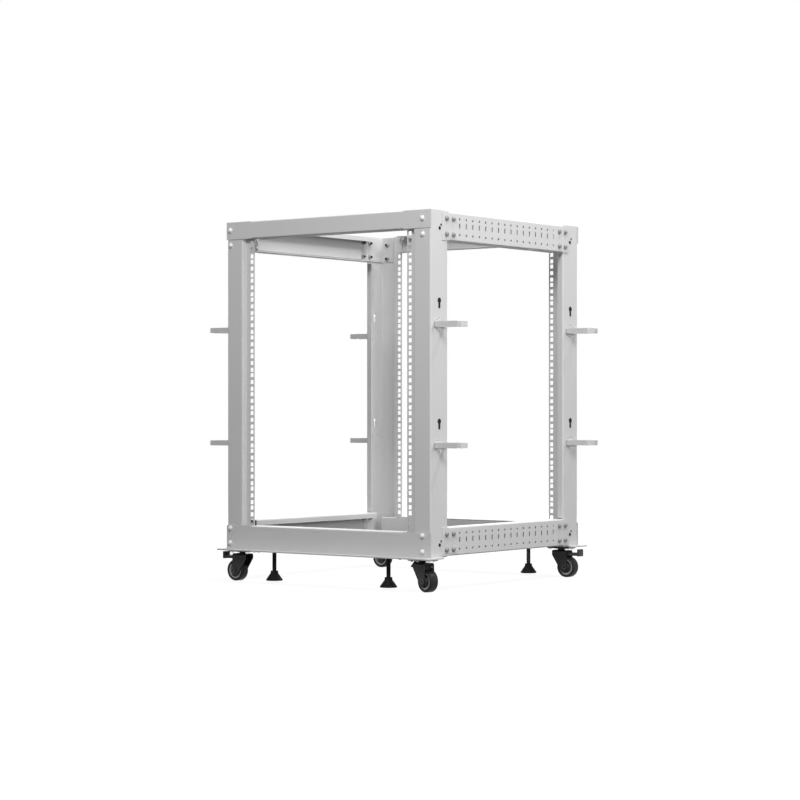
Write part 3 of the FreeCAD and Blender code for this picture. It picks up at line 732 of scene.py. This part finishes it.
def wheel_material(corner, centre, axle):
    """Moulded wheel centre: a pale rim ring round a dark web and hub, with faint mould swirls."""
    material, tree, shader = new_material(f"wheel_nylon_{corner}")
    place = add_node(tree, "ShaderNodeTexCoord").outputs["Object"]
    centred = add_node(tree, "ShaderNodeMapping", {"Location": -centre}, {"Vector": place})
    square = add_node(tree, "ShaderNodeVectorMath", {1: axle}, {0: centred.outputs[0]},
                      operation="CROSS_PRODUCT")
    reach = add_node(tree, "ShaderNodeVectorMath", {}, {0: square.outputs[0]}, operation="LENGTH")
    rim = add_node(tree, "ShaderNodeMapRange", {"From Min": 0.0144, "From Max": 0.0150}, {
        "Value": reach.outputs["Value"],
    })
    swirl = add_node(tree, "ShaderNodeTexNoise", {"Scale": 260.0, "Detail": 3.0, "Distortion": 0.6},
                     {"Vector": place})
    dark = add_node(tree, "ShaderNodeMix", {"A": (0.045, 0.045, 0.046, 1), "B": (0.06, 0.06, 0.062, 1)},
                    {"Factor": swirl.outputs["Fac"]}, data_type="RGBA")
    pale = add_node(tree, "ShaderNodeMix", {"A": (0.36, 0.36, 0.36, 1), "B": (0.46, 0.46, 0.46, 1)},
                    {"Factor": swirl.outputs["Fac"]}, data_type="RGBA")
    both = add_node(tree, "ShaderNodeMix", {}, {
        "Factor": rim.outputs[0],
        "A": dark.outputs["Result"],
        "B": pale.outputs["Result"],
    }, data_type="RGBA")
    sheen = add_node(tree, "ShaderNodeMapRange", {"To Min": 0.4, "To Max": 0.55},
                     {"Value": swirl.outputs["Fac"]})
    bump = add_node(tree, "ShaderNodeBump", {"Strength": 0.25, "Distance": 0.00008},
                    {"Height": swirl.outputs["Fac"]})
    shader.inputs["Specular IOR Level"].default_value = 0.3
    wire_shader(tree, shader, both.outputs["Result"], sheen.outputs[0], bump.outputs["Normal"])
    return material


def lathe(profile, centre, axle, sides):
    """Ring turned about an axle from a closed profile of radii and places along the axle."""
    upright = Vector((0, 0, 1))
    level = axle.cross(upright)
    rows = []
    for radius, along in profile:
        middle = centre + along * axle
        rows.append([tuple(middle + across * level + up * upright) for across, up in ring(radius, sides)])
    return loft(rows, hollow=True)


def mirrored(half_profile):
    """Closed profile from its half on one side of the wheel's middle."""
    return half_profile + [(radius, -along) for radius, along in reversed(half_profile)]


wheel_sides = 96
wheel_profile = mirrored([
    (0.00405, 0.0110), (0.0078, 0.0110), (0.0085, 0.0103), (0.0085, 0.0052), (0.0092, 0.0045),
    (0.0143, 0.0045), (0.0150, 0.0052), (0.0150, 0.0084), (0.0156, 0.0090), (0.0190, 0.0090),
])
for corner in corners:
    centre, axle = axles[corner]
    form = lathe(wheel_profile, centre, axle, wheel_sides)
    wheel = moulded_piece(f"wheel_centre_{corner}", [form], wheel_material(corner, centre, axle))
    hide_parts(f"caster_wheel_{corner}")
    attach(wheel, f"wheel_{corner}")


# Tyres: black rubber moulded on the wheel centres, with shoulders rounded in the mould.
# Floor dust greys the tread in patches.


def tyre_material():
    """Black rubber: fine mould grain, greyer where dust sits in it, and a soft sheen."""
    material, tree, shader = new_material("tyre_rubber")
    place = add_node(tree, "ShaderNodeTexCoord").outputs["Object"]
    grain = add_node(tree, "ShaderNodeTexNoise", {"Scale": 900.0, "Detail": 4.0}, {"Vector": place})
    scuffs = add_node(tree, "ShaderNodeTexNoise", {"Scale": 140.0, "Detail": 5.0, "Roughness": 0.7},
                      {"Vector": place})
    dusty = add_node(tree, "ShaderNodeMapRange", {"From Min": 0.45, "From Max": 0.75},
                     {"Value": scuffs.outputs["Fac"]})
    tone = add_node(tree, "ShaderNodeMix", {"A": (0.014, 0.014, 0.0145, 1), "B": (0.03, 0.03, 0.03, 1)},
                    {"Factor": dusty.outputs[0]}, data_type="RGBA")
    sheen = add_node(tree, "ShaderNodeMapRange", {"To Min": 0.32, "To Max": 0.5},
                     {"Value": scuffs.outputs["Fac"]})
    bump = add_node(tree, "ShaderNodeBump", {"Strength": 0.4, "Distance": 0.0001},
                    {"Height": grain.outputs["Fac"]})
    shader.inputs["Specular IOR Level"].default_value = 0.15
    wire_shader(tree, shader, tone.outputs["Result"], sheen.outputs[0], bump.outputs["Normal"])
    return material


tyre_radius = 0.025
tyre_seat = 0.019
tyre_half_width = 0.0112
tyre_shoulder = 0.0042
tyre_edge = 0.0006
shoulder_steps = 6
tyre_half = [(tyre_seat, tyre_half_width - tyre_edge), (tyre_seat + tyre_edge, tyre_half_width)]
for along, out in ring(tyre_shoulder, shoulder_steps, 0.0, math.pi / 2):
    tyre_half.append((tyre_radius - tyre_shoulder + out, tyre_half_width - tyre_shoulder + along))
tyre_half.append((tyre_radius, tyre_half_width - tyre_shoulder))
tyre_rubber = tyre_material()
for corner in corners:
    form = lathe(mirrored(tyre_half), *axles[corner], wheel_sides)
    tyre = moulded_piece(f"tyre_ring_{corner}", [form], tyre_rubber, smooth_angle=math.radians(50))
    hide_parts(f"caster_tyre_{corner}")
    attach(tyre, f"wheel_{corner}")


# Levelling feet: black bells moulded on blackened threaded stems, which screw through the base plates.
# Each bell has a thin rim on the floor, a straight cone and a collar that grips the stem.
# A lock nut inside the rail, on its lower flange, holds the stem at its height.
bell_profile = (
    (0.0189, 0.0000), (0.0195, 0.0006), (0.0195, 0.0024), (0.0190, 0.0030),
    (0.0094, 0.0168), (0.0088, 0.0179), (0.0088, 0.0223), (0.0081, 0.0230),
)
bell_height = bell_profile[-1][1]
bell_sides = 48
stem_chamfer = 0.001
foot_black = coated_metal("foot_black_plastic", (0.010, 0.010, 0.0105), gloss=(0.5, 0.65), drift=0.4,
                          peel_scale=700.0, peel_depth=0.0001, specular=0.1)
stem_black = coated_metal("stem_black_oxide", (0.05, 0.05, 0.051), gloss=(0.6, 0.75), drift=0.3,
                          peel_depth=0.00006, specular=0.02)
lock_nut = {"Flange Radius": 0.0084, "Flange Thickness": 0.0006, "Across Flats": 0.0160, "Hex Height": 0.0064,
            "Chamfer": 0.0008, "Crown Radius": 0.0056, "Crown Rise": 0.0002, "Finish": stem_black}
lock_seats = []
for corner in corners:
    low, high = (Vector(end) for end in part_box(f"levelling_foot_{corner}"))
    centre = (low + high) / 2
    rows = []
    for radius, rise in bell_profile:
        rows.append([(centre.x + x, centre.y + y, low.z + rise) for x, y in ring(radius, bell_sides)])
    bell = moulded_piece(f"foot_bell_{corner}", [loft(rows)], foot_black)
    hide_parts(f"levelling_foot_{corner}")
    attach(bell, f"foot_{corner}")
    stem = {"Core Radius": 0.0048, "Crest Radius": 0.0050, "Pitch": 0.0015, "Chamfer": stem_chamfer,
            "Length": high.z - low.z - bell_height - stem_chamfer, "Finish": stem_black}
    stem_seats = [((centre.x, centre.y, low.z + bell_height), (0, 0, 1))]
    fasteners(f"foot_stem_{corner}", screw_thread, stem_seats, stem, f"foot_{corner}")
    rail_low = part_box("bottom_rail_" + corner.partition("_")[0])[0]
    lock_seats.append(((centre.x, centre.y, rail_low[2] + rail_sheet), (0, 0, 1)))
fasteners("foot_lock_nuts", hex_fastener, lock_seats, lock_nut, "frame")


# Studio: a dark floor with a painted glow that the camera sees near white, whiter away from the rack, which
# keeps the shadow faintly; and a white surround that lights only a little.
# Soft lamps hang above the rack and stand to its right, in front of it and behind it.
# The camera looks level at the front and the right side.


def surround_ray(tree):
    """Socket that is 1 for what the camera, a gloss or a clear surface sees, and 0 for light that falls."""
    path = add_node(tree, "ShaderNodeLightPath")
    seen = add_node(tree, "ShaderNodeMath", {}, {
        0: path.outputs["Is Camera Ray"],
        1: path.outputs["Is Glossy Ray"],
    }, operation="MAXIMUM")
    either = add_node(tree, "ShaderNodeMath", {}, {
        0: seen.outputs[0],
        1: path.outputs["Is Transmission Ray"],
    }, operation="MAXIMUM")
    return either.outputs[0]


scene = bpy.context.scene
scene.view_settings.view_transform = "Standard"
world = bpy.data.worlds.new("studio")
scene.world = world
world.use_nodes = True
sky = world.node_tree
lit_level = 0.18
seen_level = 1.0
sky_level = add_node(sky, "ShaderNodeMapRange", {"To Min": lit_level, "To Max": seen_level},
                     {"Value": surround_ray(sky)})
backdrop = sky.nodes["Background"]
backdrop.inputs["Color"].default_value = (1, 1, 1, 1)
sky.links.new(sky_level.outputs[0], backdrop.inputs["Strength"])

floor_half = 4.0
floor_mesh = bpy.data.meshes.new("floor")
floor_corners = [(x * floor_half, y * floor_half, 0) for x, y in ((-1, -1), (1, -1), (1, 1), (-1, 1))]
floor_mesh.from_pydata(floor_corners, [], [(0, 1, 2, 3)])
floor = bpy.data.objects.new("floor", floor_mesh)
scene.collection.objects.link(floor)
floor_paint, floor_tree, floor_shader = new_material("floor_painted_glow")
floor_shader.inputs["Base Color"].default_value = (0.12, 0.12, 0.12, 1)
floor_shader.inputs["Roughness"].default_value = 0.9
floor_shader.inputs["Specular IOR Level"].default_value = 0.0
floor_shader.inputs["Emission Color"].default_value = (1, 1, 1, 1)
floor_place = add_node(floor_tree, "ShaderNodeTexCoord").outputs["Object"]
floor_reach = add_node(floor_tree, "ShaderNodeVectorMath", {}, {0: floor_place}, operation="LENGTH")
# Painted light: the floor glows for the camera and for glosses, from 0.9 by the rack to 1.0 far off, which
# evens out the lamps' falloff.
painted_floor_glow = add_node(floor_tree, "ShaderNodeMapRange",
                 {"From Min": 0.5, "From Max": 1.8, "To Min": 0.9, "To Max": 1.0},
                 {"Value": floor_reach.outputs["Value"]}, interpolation_type="SMOOTHSTEP")
glow = add_node(floor_tree, "ShaderNodeMath", {}, {0: surround_ray(floor_tree), 1: painted_floor_glow.outputs[0]},
                operation="MULTIPLY")
floor_tree.links.new(glow.outputs[0], floor_shader.inputs["Emission Strength"])
floor_mesh.materials.append(floor_paint)


def soft_lamp(name, place, target, size, power):
    """Square area lamp that faces a point and stays out of the picture."""
    lamp = bpy.data.lights.new(name, "AREA")
    lamp.size = size
    lamp.energy = power
    holder = bpy.data.objects.new(name, lamp)
    holder.location = place
    holder.visible_camera = False
    holder.rotation_euler = (Vector(target) - Vector(place)).to_track_quat("-Z", "Y").to_euler()
    scene.collection.objects.link(holder)


soft_lamp("top_lamp", place=(0.9, 0.0, 3.4), target=(0, 0, 0.4), size=1.4, power=66)
soft_lamp("right_lamp", place=(2.0, 1.0, 2.8), target=(0, 0, 0.5), size=0.4, power=30)
soft_lamp("front_lamp", place=(1.3, -2.4, 2.3), target=(0, 0, 0.5), size=1.0, power=63)
soft_lamp("side_lamp", place=(3.0, -0.4, 1.3), target=(0, 0, 0.5), size=1.2, power=25)
soft_lamp("rear_lamp", place=(-2.0, 2.6, 1.0), target=(0, 0, 0.5), size=1.6, power=60)

camera_place = Vector((3.193, -4.219, 0.401))
camera_azimuth = math.radians(37.24)
focal_pixels = 2213.0
picture_pixels = 800.0
horizon_drop = 11.0
side_shift = 0.3
camera = bpy.data.cameras.new("camera")
camera.sensor_width = 36.0
camera.lens = focal_pixels / picture_pixels * camera.sensor_width
camera.shift_x = side_shift / picture_pixels
camera.shift_y = horizon_drop / picture_pixels
eye = bpy.data.objects.new("camera", camera)
eye.location = camera_place
eye.rotation_euler = (math.pi / 2, 0, camera_azimuth)
scene.collection.objects.link(eye)
scene.camera = eye
